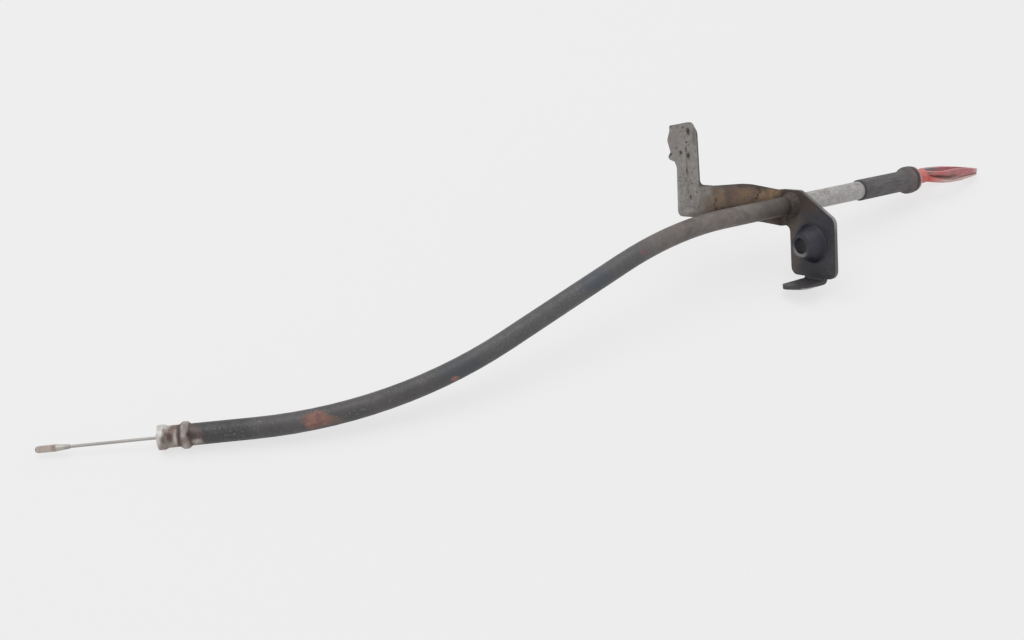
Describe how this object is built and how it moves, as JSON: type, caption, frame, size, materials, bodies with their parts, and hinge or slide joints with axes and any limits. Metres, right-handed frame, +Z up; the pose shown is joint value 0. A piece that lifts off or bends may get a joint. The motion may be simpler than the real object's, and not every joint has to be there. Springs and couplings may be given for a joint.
{
  "type": "engine oil dipstick in its guide tube",
  "caption": "Engine oil dipstick with a red finger-loop handle, seated in its bent steel guide tube with a brazed sheet bracket and a rubber boot.",
  "frame": {"origin": "middle of the bottom face of the whole part's box, on the bench that it lies on", "axes": "+Z up; +X along the length, from the gauge tip to the handle; +Y away from the side the bracket's tab points to"},
  "size_m": [0.5384, 0.0686, 0.0848],
  "materials": {
    "tube_paint": "worn semi-gloss black paint over steel",
    "bracket_steel": "worn grey phosphate, matte",
    "braze": "dull, heat stained",
    "boot_rubber": "dull black-grey",
    "handle_plastic": "worn matte red",
    "seal_rubber": "matte black",
    "ferrule_steel": "satin",
    "wire_steel": "oily satin",
    "tip_steel": "stained satin"
  },
  "bodies": {
    "tube": {"guide_tube": "tube_paint", "bracket": "bracket_steel", "braze_seam": "braze", "top_boot": "boot_rubber"},
    "dipstick": {"handle": "handle_plastic", "seal_ring_upper": "seal_rubber", "seal_ring_lower": "seal_rubber", "wire_ferrule": "ferrule_steel", "dipstick_wire": "wire_steel", "gauge_tip": "tip_steel"}
  },
  "joints": [
    {"name": "dipstick_pull", "type": "slide", "parent": "tube", "child": "dipstick", "axis": [0.9802, 0.0945, -0.1741], "range_m": [0, 0.52], "deforming": ["dipstick_wire"]}
  ]
}
